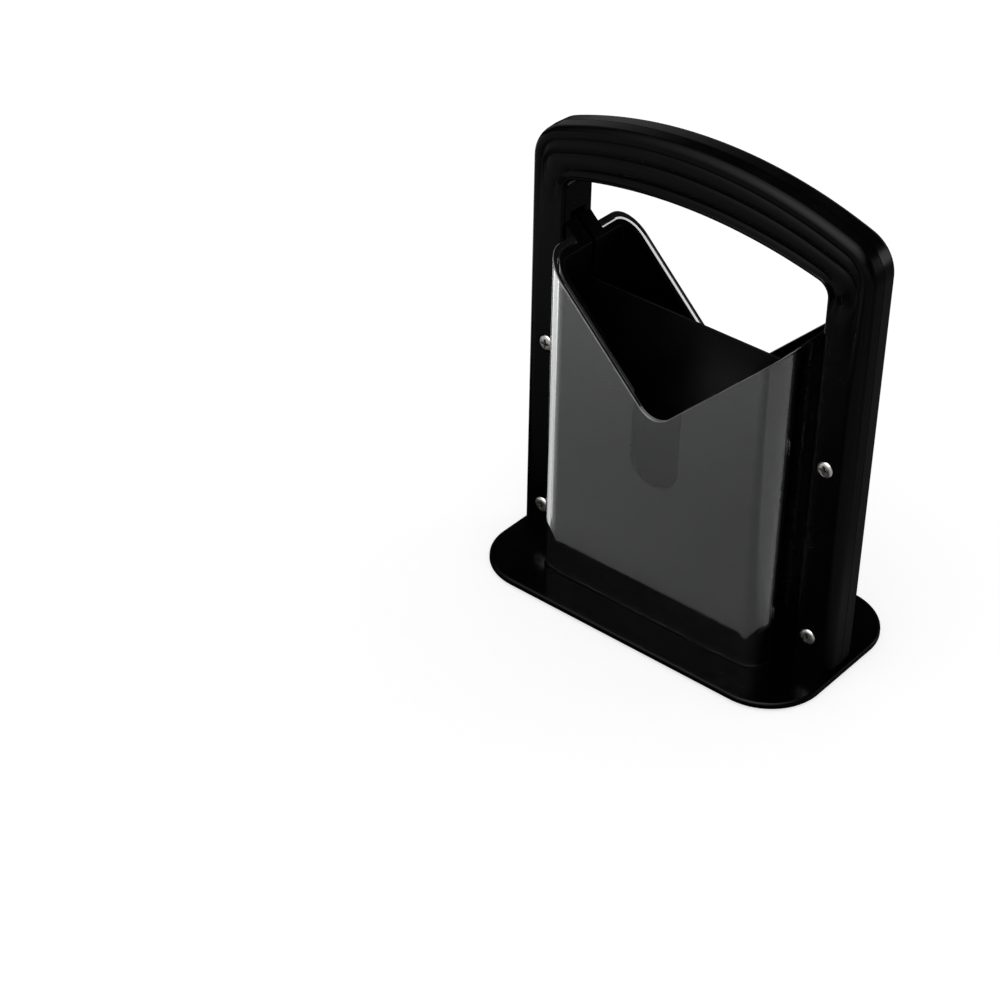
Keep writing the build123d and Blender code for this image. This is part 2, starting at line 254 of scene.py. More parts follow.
def operation_node(tree, kind, operation, first, second):
    """A Math or Vector Math node, fed by sockets or plain values."""
    node = tree.nodes.new(kind)
    node.operation = operation
    feed(tree, node.inputs[0], first)
    feed(tree, node.inputs[1], second)
    return node.outputs


def math_node(tree, operation, first, second=0.0):
    return operation_node(tree, "ShaderNodeMath", operation, first, second)[0]


def add(tree, first, second):
    return math_node(tree, "ADD", first, second)


def multiply(tree, first, second):
    return math_node(tree, "MULTIPLY", first, second)


def map_range(tree, value, from_low, from_high, to_low, to_high):
    """A ramp from one range of values to another, level past its ends."""
    node = add_node(tree, "ShaderNodeMapRange", Value=value, From_Min=from_low, From_Max=from_high,
                    To_Min=to_low, To_Max=to_high)
    node.clamp = True
    return node.outputs[0]


def vector(tree, x=0.0, y=0.0, z=0.0):
    return add_node(tree, "ShaderNodeCombineXYZ", X=x, Y=y, Z=z).outputs[0]


def noise(tree, where, scale, detail, roughness):
    node = add_node(tree, "ShaderNodeTexNoise", Vector=where, Scale=scale, Detail=detail, Roughness=roughness)
    return node.outputs["Fac"]


# %% [markdown]
# Several finishes share the same small faults. Dust and handling leave soft cloudy patches where the gloss
# is a little duller, moulding leaves a very fine waviness that bends reflections, and long use leaves
# hairline scratches. Each effect is a node group with named inputs, built once and used with other values
# in each material. The groups give out only masks and heights; the shader itself stays in the material.

# %% Shader groups
def new_group(name, output, **inputs):
    """A node group with number inputs and one output, given with its input and output sockets and a place."""
    group = bpy.data.node_groups.new(name, "ShaderNodeTree")
    for label, value in inputs.items():
        label = label.replace("_", " ")
        socket = group.interface.new_socket(label, in_out="INPUT", socket_type="NodeSocketFloat")
        socket.default_value = value
    group.interface.new_socket(output, in_out="OUTPUT", socket_type="NodeSocketFloat")
    source = group.nodes.new("NodeGroupInput").outputs
    result = group.nodes.new("NodeGroupOutput").inputs
    where = group.nodes.new("ShaderNodeTexCoord").outputs["Object"]
    return group, source, result, where


def make_handling_group():
    """Cloudy patches left by dust and hands: 0 clean to Amount at the dullest."""
    group, source, result, where = new_group("handling_marks", "Mask", Scale=30.0, Amount=0.1)
    cloud = noise(group, where, source["Scale"], 4.0, 0.6)
    patch = map_range(group, cloud, 0.45, 0.72, 0.0, 1.0)
    feed(group, result[0], multiply(group, patch, source["Amount"]))
    return group


def make_moulding_group():
    """Fine waviness and grain of a moulded face, as a height."""
    group, source, result, where = new_group(
        "moulded_face", "Height", Wave_Scale=60.0, Grain_Scale=2500.0, Grain_Share=0.2
    )
    wave = noise(group, where, source["Wave Scale"], 2.0, 0.4)
    grain = noise(group, where, source["Grain Scale"], 2.0, 0.5)
    feed(group, result[0], add(group, wave, multiply(group, grain, source["Grain Share"])))
    return group


def make_scratch_group():
    """Hairline scratches, mostly along one direction: a mask from 0 to Amount."""
    group, source, result, where = new_group(
        "hairlines", "Mask", Across_Scale=900.0, Along_Scale=12.0, Amount=0.3
    )
    stretch = vector(group, source["Along Scale"], source["Across Scale"], source["Across Scale"])
    stretched = operation_node(group, "ShaderNodeVectorMath", "MULTIPLY", where, stretch)["Vector"]
    line = noise(group, stretched, 1.0, 2.0, 0.5)
    hair = map_range(group, line, 0.62, 0.72, 0.0, 1.0)
    feed(group, result[0], multiply(group, hair, source["Amount"]))
    return group


handling_marks = make_handling_group()
moulded_face = make_moulding_group()
hairlines = make_scratch_group()
print("shader groups", [g.name for g in (handling_marks, moulded_face, hairlines)])

# %% [markdown]
# Every material starts from one Principled shader. A group is placed in it with values of its own, a mask
# mixes two colours, such as clean and dusty, and a Bump node turns a height into tilted light without
# moving the surface, which suits grain and waviness of a hundredth of a millimetre.

# %% Material helpers
def new_material(name):
    """A material with an empty tree but for its Principled BSDF and output."""
    material = bpy.data.materials.new(name)
    material.use_nodes = True
    tree = material.node_tree
    return material, tree, tree.nodes["Principled BSDF"]


def add_group(tree, group, **values):
    """Places a group in a material with its own values and gives its mask or height."""
    node = tree.nodes.new("ShaderNodeGroup")
    node.node_tree = group
    feed_inputs(tree, node, **values)
    return node.outputs[0]


def add_bump(tree, shader, height, distance):
    bump = add_node(tree, "ShaderNodeBump", Strength=1.0, Distance=distance, Height=height)
    feed(tree, shader.inputs["Normal"], bump.outputs["Normal"])


def mix_colours(tree, share, first, second):
    """Mixes two colours, plain or from sockets, by a mask."""
    node = tree.nodes.new("ShaderNodeMix")
    node.data_type = "RGBA"
    feed(tree, node.inputs["Factor"], share)
    for label, value in (("A", first), ("B", second)):
        feed(tree, [s for s in node.inputs if s.name == label and s.type == "RGBA"][0], value)
    return [s for s in node.outputs if s.type == "RGBA"][0]


def grey(level):
    return level, level, level, 1.0


# %% [markdown]
# The handle, the guide walls and the base plate are all the same glossy black plastic, polished in the
# mould. Its body colour is almost no light at all. What shows is gloss, so the roughness carries the
# detail: clean plastic is sharp, patches of dust and touch are duller, and hairline scratches run along the
# pieces. A faint waviness keeps long reflections from being ruler straight, as on any moulded wall.

# %% Black plastic
clean_black = (0.0005, 0.0005, 0.0006, 1)
dusty_black = (0.003, 0.003, 0.0032, 1)


def make_black_plastic(name, gloss, wave_scale, scratches, shine):
    """Glossy black plastic: gloss is its roughness when clean, and shine is how strongly it mirrors."""
    material, tree, shader = new_material(name)
    marks = add_group(tree, handling_marks, Scale=26.0, Amount=0.12)
    scratch = add_group(tree, hairlines, Across_Scale=700.0, Along_Scale=9.0, Amount=scratches)
    feed_inputs(tree, shader, Base_Color=mix_colours(tree, marks, clean_black, dusty_black),
                Roughness=add(tree, add(tree, marks, scratch), gloss), Specular_IOR_Level=shine)
    face = add_group(tree, moulded_face, Wave_Scale=wave_scale, Grain_Scale=2200.0, Grain_Share=0.04)
    add_bump(tree, shader, face, 0.012 * mm)
    return material


handle_plastic = make_black_plastic("black_plastic_handle", 0.20, 45.0, 0.03, 0.11)
guide_plastic = make_black_plastic("black_plastic_guide", 0.26, 60.0, 0.02, 0.05)
guide_face_plastic = make_black_plastic("black_plastic_guide_face", 0.14, 60.0, 0.02, 0.17)
base_plastic = make_black_plastic("black_plastic_base", 0.16, 30.0, 0.04, 0.11)
print("black plastics", [m.name for m in (handle_plastic, guide_plastic, guide_face_plastic, base_plastic)])

# %% [markdown]
# The shields are clear acrylic. Light goes through and bends, so it needs closed walls of real thickness,
# plain full transmission and the material's own index of refraction. Fine scratches and a touch of haze
# show only as changes of roughness. A very small waviness in the bump keeps the wide panel from looking
# like optical glass. Where the sheet is sawn it is another finish, opaque and with painted light and shade:
# milky where the saw marks were not melted away, which also stands as a painted highlight where the cut
# catches the light, and nearly black, a painted shade, where the cut looks down a dark wall.

# %% Clear plastic
acrylic_refraction = 1.49
clear_tint = (0.97, 0.98, 0.98, 1)
hazy_tint = (0.93, 0.94, 0.94, 1)


def make_clear_plastic():
    material, tree, shader = new_material("clear_plastic_shield")
    marks = add_group(tree, handling_marks, Scale=22.0, Amount=0.04)
    scratch = add_group(tree, hairlines, Across_Scale=1100.0, Along_Scale=25.0, Amount=0.03)
    feed_inputs(tree, shader, Transmission_Weight=1.0, IOR=acrylic_refraction,
                Base_Color=mix_colours(tree, marks, clear_tint, hazy_tint),
                Roughness=add(tree, add(tree, marks, scratch), 0.01))
    face = add_group(tree, moulded_face, Wave_Scale=10.0, Grain_Scale=600.0, Grain_Share=0.0)
    add_bump(tree, shader, face, 0.02 * mm)
    return material


def make_cut_edge(name, lightness, shine):
    """A sawn and flamed edge of clear plastic, opaque, with duller and darker patches: light grey paints a
    highlight, near black paints shade.
    """
    material, tree, shader = new_material(name)
    marks = add_group(tree, handling_marks, Scale=150.0, Amount=1.0)
    feed_inputs(tree, shader, Base_Color=mix_colours(tree, marks, grey(lightness), grey(0.4 * lightness)),
                Roughness=map_range(tree, marks, 0.0, 1.0, 0.12, 0.35), Specular_IOR_Level=shine)
    saw = add_group(tree, moulded_face, Wave_Scale=300.0, Grain_Scale=3000.0, Grain_Share=0.4)
    add_bump(tree, shader, saw, 0.05 * mm)
    return material


clear_plastic = make_clear_plastic()
# Light grey cut: milky finish with a painted highlight. Near-black cut: painted shade of the dark wall seen
# through it.
milky_cut_and_painted_highlight = make_cut_edge("clear_plastic_cut_milky_and_painted_highlight", 0.28, 0.6)
cut_painted_shade = make_cut_edge("clear_plastic_cut_painted_shade", 0.012, 0.03)
print("clear plastics", [m.name for m in (clear_plastic, milky_cut_and_painted_highlight, cut_painted_shade)])

# %% [markdown]
# The handle is two mirrored shells that meet in the middle of its thickness. Its outline is a doorway: two
# upright legs, round top corners and a shallow arch. Each shell is lofted: the same section is drawn at
# many stations along the doorway and joined up. The section starts at the parting line, rolls over the
# outer edge, crosses the face and turns in at the opening. A mesh made this way has even rows, so the roll
# shades cleanly.

# %% Doorway outlines
shell_low, shell_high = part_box("handle_front_shell")
handle_half_width = shell_high.x
handle_half_depth = -shell_low.y
handle_crown = shell_high.z
leg_bottom = shell_low.z
arch_rise = 18.6 * mm
corner_radius = 19.0 * mm
arch_depth = 27.0 * mm
opening_half_width = 69.3 * mm
opening_rise = 9.5 * mm
opening_corner_radius = 7.0 * mm
leg_steps = 40
corner_steps = 28
arch_steps = 130


def make_doorway(half_width, crown, rise, radius):
    """The four sizes of a doorway: half width, arch radius, height of the arch's centre, corner radius."""
    arch_radius = (half_width ** 2 + rise ** 2) / (2 * rise)
    return np.array([half_width, arch_radius, crown - arch_radius, radius])


def inset(doorway, distance):
    """The doorway that lies a distance inside another all the way round."""
    half_width, arch_radius, centre, radius = doorway
    return np.array([half_width - distance, arch_radius - distance, centre, radius - distance])


def stations(doorway):
    """Points along a doorway from the left foot to the right foot, always the same number."""
    half_width, arch_radius, centre, radius = doorway
    reach = arch_radius - radius
    corner_x = half_width - radius
    corner_z = centre + math.sqrt(reach ** 2 - corner_x ** 2)
    lean = math.atan2(corner_x, corner_z - centre)
    leg = [(half_width, z) for z in np.linspace(leg_bottom, corner_z, leg_steps + 1)[:-1]]
    turns = np.linspace(0, math.pi / 2 - lean, corner_steps + 1)[:-1]
    corner = [(corner_x + radius * math.cos(t), corner_z + radius * math.sin(t)) for t in turns]
    sweep = np.linspace(lean, -lean, arch_steps + 1)
    arch = [(arch_radius * math.sin(t), centre + arch_radius * math.cos(t)) for t in sweep]
    right = leg + corner
    left = [(-x, z) for x, z in reversed(right)]
    return np.array(right + arch + left)[::-1]


outer_doorway = make_doorway(handle_half_width, handle_crown, arch_rise, corner_radius)
opening_crown = handle_crown - arch_depth
opening_doorway = make_doorway(opening_half_width, opening_crown, opening_rise, opening_corner_radius)
station_count = len(stations(outer_doorway))
print("stations", station_count, "opening crown", round(opening_crown / mm, 1), "mm")

# %% [markdown]
# The face of the arch has four soft bands with grooves between them, for grip. Modelled as a height map on
# the mesh, each groove is a line, and a point of the face sinks by how near it is to the nearest line: most
# on the line, and less and less up to about 6 mm away, so that the bands swell softly between their
# grooves. The upper groove follows the outer roll and fades out down the legs, the lower one fades at the
# corners, and the middle one turns round at the corner and runs into the opening, which gives the bands
# their round end.

# %% Grip grooves
groove_depth = 1.9 * mm
groove_reach_above = 6.2 * mm
groove_reach_below = 5.8 * mm
roll_depths = {-1: 5.4 * mm, 1: 4.0 * mm}  # how deep the outer edge of the front and of the rear shell rolls
roll_extra = 0.8 * mm
upper_fade = (210 * mm, 150 * mm)
lower_fade = (207 * mm, 196 * mm)
lower_share = 0.83
hook_drop = 13.6 * mm
hook_half_width = 82.4 * mm
hook_height = 198.9 * mm
hook_rise = 15.1 * mm
hook_corner_radius = 11.0 * mm
hook_turn = 170
hook_steps = 24
shortest_step = 1e-18


def groove_line(doorway, fade_high, fade_low):
    """A groove along a doorway and its strength, which fades from one height to a lower one."""
    outline = stations(doorway)
    strength = np.clip((outline[:, 1] - fade_low) / (fade_high - fade_low), 0, 1)
    return outline, strength * strength * (3 - 2 * strength)


def hook_line():
    """The middle groove with its two turned-in ends."""
    doorway = make_doorway(hook_half_width, handle_crown - hook_drop, hook_rise, hook_corner_radius)
    outline = stations(doorway)
    outline = outline[outline[:, 1] > hook_height]
    turn_x = (hook_half_width + opening_half_width) / 2
    hook = np.array(arc((turn_x, hook_height), hook_half_width - turn_x, 0, -hook_turn, hook_steps))
    line = np.vstack([hook[::-1] * (-1, 1), outline, hook])
    return line, np.ones(len(line))


def sink(points, lines):
    """How far each point of the face sinks: most on a groove's line and less and less up to its reach."""
    depth = np.zeros(len(points))
    every = np.arange(len(points))
    for line, strength in lines:
        start = line[:-1]
        along = line[1:] - start
        away = points[:, None, :] - start
        share = np.clip((away * along).sum(2) / np.maximum((along ** 2).sum(1), shortest_step), 0, 1)
        gap = np.linalg.norm(away - share[:, :, None] * along, axis=2)
        near = gap.argmin(1)
        leg, offset = along[near], away[every, near]
        above = leg[:, 0] * offset[:, 1] - leg[:, 1] * offset[:, 0] > 0
        reach = np.where(above, groove_reach_above, groove_reach_below)
        bowl = np.clip(1 - gap[every, near] / reach, 0, 1) ** 2
        depth = np.maximum(depth, bowl * strength[near])
    return depth * groove_depth


roll_end = inset(outer_doorway, roll_depths[-1] + roll_extra)
lower_doorway = outer_doorway + (opening_doorway - outer_doorway) * lower_share
grip_lines = [groove_line(roll_end, *upper_fade), hook_line(), groove_line(lower_doorway, *lower_fade)]
print("groove points", [len(line) for line, strength in grip_lines])

# %% [markdown]
# The section is a list of rows, each with its doorway, its distance from the parting line and its share of
# the grooves. A fine notch at the parting line is the seam between the two shells. The outer edge rolls
# over in an arc a little flatter than a quarter circle, tighter on the rear shell than on the front one,
# and the edge of the opening has a small round. A strip of quads between each two rows and a cap on each
# foot close the skin, which a Boolean needs.

# %% Handle shells
roll_fullness = 0.88
wall_draft = 0.3 * mm
inner_round = 1.8 * mm
opening_chamfer = 0.15 * mm
seam_half_width = 0.12 * mm
seam_shoulder = 1.5 * seam_half_width
seam_depth = 0.5 * mm
roll_steps = 12
face_steps = 56
inner_steps = 5


def roll_curve(reach):
    """Inset and rise of the roll over the outer edge, an arc that meets wall and face in soft creases."""
    half_sweep = math.pi / 4 * roll_fullness
    chord = math.sqrt(2) * reach
    radius = chord / (2 * math.sin(half_sweep))
    for turn in np.linspace(-half_sweep, half_sweep, roll_steps + 1):
        along = 0.5 + radius * math.sin(turn) / chord
        bulge = radius * (math.cos(turn) - math.cos(half_sweep)) / math.sqrt(2)
        yield along * reach - bulge, along * reach + bulge


def section_rows(reach):
    """The rows from the parting line round the outside and back: doorway, depth, share of the grooves."""
    depth = handle_half_depth
    seam = inset(outer_doorway, seam_depth)
    rows = [(seam, 0.0, 0.0), (seam, seam_half_width, 0.0), (outer_doorway, seam_shoulder, 0.0)]
    for inward, rise in roll_curve(reach):
        drafted = wall_draft + inward * (reach + roll_extra - wall_draft) / reach
        rows.append((inset(outer_doorway, drafted), depth - reach + rise, (rise / reach) ** 2))
    face_start = inset(outer_doorway, reach + roll_extra)
    inner_start = inset(opening_doorway, -inner_round)
    for step in range(1, face_steps):
        rows.append((face_start + (inner_start - face_start) * step / face_steps, depth, 1.0))
    for step in range(inner_steps + 1):
        turn = math.pi / 2 * step / inner_steps
        edge = inset(opening_doorway, -inner_round * (1 - math.sin(turn)))
        rows.append((edge, depth - inner_round * (1 - math.cos(turn)), 0.0))
    rows += [(opening_doorway, opening_chamfer, 0.0), (inset(opening_doorway, -opening_chamfer), 0.0, 0.0)]
    return rows


def loft_shell(name, side):
    """Joins the rows along the doorway into a closed shell, in front of the parting line or behind it."""
    rows = section_rows(roll_depths[side])
    count = station_count
    points, faces = [], []
    for row, (doorway, depth, share) in enumerate(rows):
        outline = stations(doorway)
        sunk = share * sink(outline, grip_lines) if share > 0 else np.zeros(count)
        points += [(x, side * (depth - low), z) for (x, z), low in zip(outline, sunk)]
        faces += strip(row * count, (row + 1) % len(rows) * count, count, closed=False)
    faces.append(tuple(row * count for row in range(len(rows))))
    faces.append(tuple(row * count + count - 1 for row in reversed(range(len(rows)))))
    return add_object(name, points, faces)


print("rows in a section", len(section_rows(roll_depths[-1])))

# %% [markdown]
# Each leg is a channel that rides on the guides' rails, so its inner side is cut open from the bottom up to
# just above the rails: a wide slot for the rail and a narrower mouth with a lip on each side of it. The
# front shell also has a round sunk seat for each screw. Booleans suit both, because the cutters are simple
# prisms.

# %% Channels and screw seats
rail_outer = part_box("front_guide")[1].x
rail_face = 7.1 * mm
slide_clearance = 0.4 * mm
lip_thickness = 0.9 * mm
mouth_half_depth = 5.0 * mm
channel_top = 180.5 * mm
screw_x = 77.2 * mm
screw_low = 20.3 * mm
screw_high = 111.4 * mm
screw_head_radius = 4.0 * mm
screw_head_sunk = 1.0 * mm
screw_head_height = 1.9 * mm
seat_clearance = 0.4 * mm
overrun = 2.0 * mm


def channel_cutter(way, side):
    """The slot in one leg of one shell, as a prism with a stepped outline."""
    mouth = opening_half_width + lip_thickness
    outline = [
        (opening_half_width - overrun, -overrun), (rail_outer + slide_clearance, -overrun),
        (rail_outer + slide_clearance, rail_face + slide_clearance), (mouth, rail_face + slide_clearance),
        (mouth, mouth_half_depth), (opening_half_width - overrun, mouth_half_depth),
    ]
    outline = [(way * x, side * y) for x, y in outline]
    return prism("channel_cutter", outline, leg_bottom - overrun, channel_top)


def seat_cutter(way, height):
    """The sunk round seat of one screw."""
    floor = -handle_half_depth + screw_head_sunk
    outline = circle((way * screw_x, height), screw_head_radius + seat_clearance, 48)
    return prism("seat_cutter", outline, -handle_half_depth - overrun, floor, along="y")


def make_shell(name, node, side):
    shell = loft_shell(name, side)
    cutters = [channel_cutter(way, side) for way in (-1, 1)]
    if side < 0:
        cutters += [seat_cutter(way, height) for way in (-1, 1) for height in (screw_low, screw_high)]
    cut_out(shell, cutters)
    shade(shell)
    place(shell, "handle", "black_plastic", handle_plastic, node)


make_shell("front_handle_shell", "handle_front_shell", -1)
make_shell("rear_handle_shell", "handle_rear_shell", 1)

# %% [markdown]
# A pocket half is a black guide wall bent round the front and sides, with a column beside it that closes
# the gap to the leg, and a thin flange and rail outside that run inside the leg's channel. A clear shield
# of the same plan stands round it. All of them are prisms along the blade's travel, cut by the same V with
# a rounded bottom, and the guide wall also has a U for a finger. Both halves come from one function and a
# sign.

# %% Pocket sizes
guide_low, guide_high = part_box("front_guide")
guide_half_depth = -guide_low.y
pocket_floor = guide_low.z
pocket_top = guide_high.z
guide_half_width = 62.0 * mm
guide_radius = 9.0 * mm
guide_thickness = 2.4 * mm
guide_rounding = 0.35 * mm
flange_thickness = 2.4 * mm
column_thickness = 8.0 * mm
column_width = 6.9 * mm
rail_thickness = 2.4 * mm
blade_slot_half = -guide_high.y
flange_face = blade_slot_half + flange_thickness
column_face = blade_slot_half + column_thickness
column_outer = guide_half_width + column_width
rail_inner = rail_outer - rail_thickness
shield_half_width = 64.8 * mm
shield_half_depth = 30.7 * mm
shield_radius = 12.0 * mm
shield_thickness = 2.2 * mm
shield_rounding = 0.5 * mm
shield_seat_depth = 0.6 * mm
shield_back = column_face - shield_seat_depth
notch_bottom = 108.8 * mm
notch_slope = 0.982
notch_radius = 11.0 * mm
notch_steps = 16
slot_half_width = 13.2 * mm
slot_bottom = 76.0 * mm
slot_steps = 28
bend_steps = 14
print("pocket from", round(pocket_floor / mm, 1), "to", round(pocket_top / mm, 1), "mm")

# %% [markdown]
# A wall bent round three sides is one outline: out along its outer face with two arcs, and back along its
# inner face with two tighter ones. The V and the U are prisms too, drawn from the front and pushed through
# the wall.

# %% Bent walls and their cuts
def cup_outline(half_width, half_depth, radius, thickness, back, side):
    """Plan of a wall bent round the front and both sides, as one closed outline."""
    left, right = (-half_width + radius, half_depth - radius), (half_width - radius, half_depth - radius)
    outer = arc(left, radius, 180, 90, bend_steps) + arc(right, radius, 90, 0, bend_steps)
    inside = radius - thickness
    inner = arc(right, inside, 0, 90, bend_steps) + arc(left, inside, 90, 180, bend_steps)
    outline = [(-half_width, back)] + outer + [(half_width, back)]
    outline += [(half_width - thickness, back)] + inner + [(-half_width + thickness, back)]
    return [(x, side * y) for x, y in outline]


def notch_cutter(side):
    """The V prism with a rounded bottom."""
    lean = math.atan(notch_slope)
    centre = notch_bottom + notch_radius / math.cos(lean)
    rise = pocket_top + overrun - notch_bottom
    reach = rise / notch_slope
    turn = math.degrees(lean)
    bottom = arc((0, centre), notch_radius, 270 - turn, 270 + turn, notch_steps)
    outline = [(-reach, notch_bottom + rise)] + bottom + [(reach, notch_bottom + rise)]
    low, high = sorted((0.0, side * (shield_half_depth + overrun)))
    return prism("notch_cutter", outline, low, high, along="y")


def slot_cutter(side):
    """The U that lets a finger through the guide wall."""
    centre = slot_bottom + slot_half_width
    outline = [(slot_half_width, pocket_top)] + arc((0, centre), slot_half_width, 0, -180, slot_steps)
    outline += [(-slot_half_width, pocket_top)]
    near = guide_half_depth - guide_thickness - overrun
    low, high = sorted((side * near, side * (guide_half_depth + overrun)))
    return prism("slot_cutter", outline, low, high, along="y")


# %% [markdown]
# A guide wall's plan is walked once round, with its columns, flanges and rails on the way. Its broad front
# is polished more than the rest, so those faces get the glossier black.

# %% Guide walls
faces_front = 0.3


def guide_outline(side):
    """Plan of the guide wall with its columns, flanges and rails, walked once round."""
    wall = cup_outline(guide_half_width, guide_half_depth, guide_radius, guide_thickness, blade_slot_half, 1)
    half = len(wall) // 2
    outer, inner = wall[1:half - 1], wall[half:]
    right = [
        (guide_half_width, column_face), (column_outer, column_face), (column_outer, flange_face),
        (rail_inner, flange_face), (rail_inner, rail_face), (rail_outer, rail_face),
        (rail_outer, blade_slot_half),
    ]
    left = [(-x, y) for x, y in reversed(right)]
    return [(x, side * y) for x, y in left + outer + right + inner]


def make_guide(name, node, side):
    guide = prism(name, guide_outline(side), pocket_floor, pocket_top)
    cut_out(guide, [notch_cutter(side), slot_cutter(side)])
    round_edges(guide, guide_rounding)
    shade(guide)
    place(guide, "stand", "black_plastic", guide_plastic, node)
    guide.data.materials.append(guide_face_plastic)
    for face in guide.data.polygons:
        if side * face.normal.y > faces_front and side * face.center.y > column_face:
            face.material_index = 1


make_guide("front_guide_wall", "front_guide", -1)
make_guide("rear_guide_wall", "rear_guide", 1)

# %% [markdown]
# The shield is the same kind of bent wall, sawn along the V. Its cut is milky round the bends, with a painted
# highlight where it catches the light, and painted shade, nearly black, along the straight sides, where it
# looks down the black wall inside it. So the faces of the cut are sorted by where they lie and which way
# they lean.

# %% Clear shields
bend_begins = 0.1 * mm
cut_lean_straight = 0.02
cut_lean_bent = 0.25
flat_enough = 0.985


def paint_cut_edges(shield, side):
    """Makes the cut milky with a painted highlight, but painted shade on the straight sides and on its flat
    top round the corners.
    """
    bend_x, bend_y = shield_half_width - shield_radius, shield_half_depth - shield_radius
    for face in shield.data.polygons:
        spot = face.center
        way = 1 if spot.x > 0 else -1
        corner = Vector((max(abs(spot.x) - bend_x, 0), max(side * spot.y - bend_y, 0)))
        if corner.length < bend_begins or spot.z < notch_bottom:
            continue
        corner.normalize()
        outward = face.normal.x * corner.x * way + face.normal.y * corner.y * side
        flat = Vector((-way * notch_slope, 0, 1)).normalized()
        on_flank = abs(spot.x) > bend_x
        straight = side * spot.y < bend_y
        if face.normal.z > (cut_lean_straight if on_flank and straight else cut_lean_bent):
            plain = face.normal.dot(flat) > flat_enough or outward < flat.x * corner.x * way
            # Index 1 is the milky cut with its painted highlight, and index 2 is the painted shade.
            face.material_index = 2 if on_flank and (plain or straight) else 1


def make_shield(name, node, side):
    outline = cup_outline(shield_half_width, shield_half_depth, shield_radius, shield_thickness,
                          shield_back, side)
    shield = prism(name, outline, pocket_floor, pocket_top)
    cut_out(shield, [notch_cutter(side)])
    round_edges(shield, shield_rounding, 3)
    shade(shield)
    place(shield, "stand", "clear_plastic", clear_plastic, node)
    shield.data.materials.append(milky_cut_and_painted_highlight)
    shield.data.materials.append(cut_painted_shade)
    paint_cut_edges(shield, side)


make_shield("front_clear_shield", "front_shield", -1)
make_shield("rear_clear_shield", "rear_shield", 1)

# %% [markdown]
# The base plate is a thin rounded rectangle. Its edge is rolled over at the top and crisp below, so it is
# lofted from a short edge profile. Underneath it is hollow with ribs, pads for the feet and sunk seats for
# the screws that hold the guide walls, as such plates are moulded, and a shallow groove on top takes the
# blade's edge.

# %% Base plate
base_low, base_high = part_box("base_plate")
base_half_length = base_high.x
base_half_depth = base_high.y
base_bottom = base_low.z
base_top = base_high.z
base_radius = 28.5 * mm
base_roll = 1.3 * mm
base_roll_steps = 6
base_foot_round = 0.3 * mm
base_web = 1.8 * mm
base_rim = 5.0 * mm
rib_width = 2.4 * mm
rib_spacing = 42.0 * mm
groove_band = 9.0 * mm
foot_x = 72.0 * mm
foot_y = 32.5 * mm
foot_radius = 6.0 * mm
foot_pad_half = 8.5 * mm
foot_seat_depth = 1.0 * mm
boss_x = 56.2 * mm
boss_y = 21.5 * mm
boss_pad_half = 5.6 * mm
screw_seat_radius = 3.6 * mm
screw_seat_depth = 1.5 * mm
blade_groove_half = 1.3 * mm
blade_groove_depth = 1.3 * mm


def rounded_rectangle(half_x, half_y, radius, steps=24):
    points = []
    for turn, (x, y) in enumerate(((1, 1), (-1, 1), (-1, -1), (1, -1))):
        centre = (x * (half_x - radius), y * (half_y - radius))
        points += arc(centre, radius, 90 * turn, 90 * turn + 90, steps)
    return points


def base_profile():
    """Inset and height of the plate's edge, from its underside up and over the roll."""
    profile = [(base_foot_round, base_bottom), (0.0, base_bottom + base_foot_round)]
    for step in range(base_roll_steps + 1):
        turn = math.pi / 2 * step / base_roll_steps
        profile.append((base_roll * (1 - math.cos(turn)), base_top - base_roll * (1 - math.sin(turn))))
    return profile


def loft_base():
    """Joins the rings of the edge profile and closes them below and on top."""
    points, faces = [], []
    for distance, height in base_profile():
        half_x, half_y = base_half_length - distance, base_half_depth - distance
        ring = rounded_rectangle(half_x, half_y, base_radius - distance)
        count = len(ring)
        if points:
            faces += strip(len(points) - count, len(points), count)
        points += [(x, y, height) for x, y in ring]
    faces.append(tuple(reversed(range(count))))
    faces.append(tuple(range(len(points) - count, len(points))))
    return add_object("moulded_base_plate", points, faces)


def make_base():
    """Hollows the plate round its ribs and pads, and cuts the seats below and the blade's groove on top."""
    plate = loft_base()
    quarters = [(x, y) for x in (-1, 1) for y in (-1, 1)]
    below = base_bottom - overrun
    field = rounded_rectangle(base_half_length - base_rim, base_half_depth - base_rim, base_radius - base_rim)
    hollow = prism("hollow", field, below, base_top - base_web)
    ribs = [rectangle(0, 0, base_half_length, groove_band / 2)]
    ribs += [rectangle(step * rib_spacing, 0, rib_width / 2, base_half_depth) for step in (-1, 0, 1)]
    for x, y in quarters:
        ribs.append(rectangle(x * foot_x, y * foot_y, foot_pad_half, foot_pad_half))
        ribs.append(rectangle(x * boss_x, y * boss_y, boss_pad_half, boss_pad_half))
    cut_out(hollow, [prism("rib", rib, base_bottom - 2 * overrun, base_top) for rib in ribs])
    cutters = [hollow]
    for x, y in quarters:
        foot_seat = circle((x * foot_x, y * foot_y), foot_radius)
        screw_seat = circle((x * boss_x, y * boss_y), screw_seat_radius, 48)
        cutters.append(prism("foot_seat", foot_seat, below, base_bottom + foot_seat_depth))
        cutters.append(prism("screw_seat", screw_seat, below, base_bottom + screw_seat_depth))
    groove = rectangle(0, 0, guide_half_width - guide_thickness, blade_groove_half)
    cutters.append(prism("blade_groove", groove, base_top - blade_groove_depth, base_top + overrun))
    cut_out(plate, cutters)
    shade(plate)
    place(plate, "stand", "black_plastic", base_plastic, "base_plate")


make_base()

# %% [markdown]
# The blade is sheet steel with a dark non-stick coating, ground bare along its toothed lower edge. Its
# solid is already right, so it keeps its mesh and gets a material. The ground band follows the slanting
# edge, so the mask is a height above that slant worked out from the object's own x and z, with fine
# grinding lines across it.

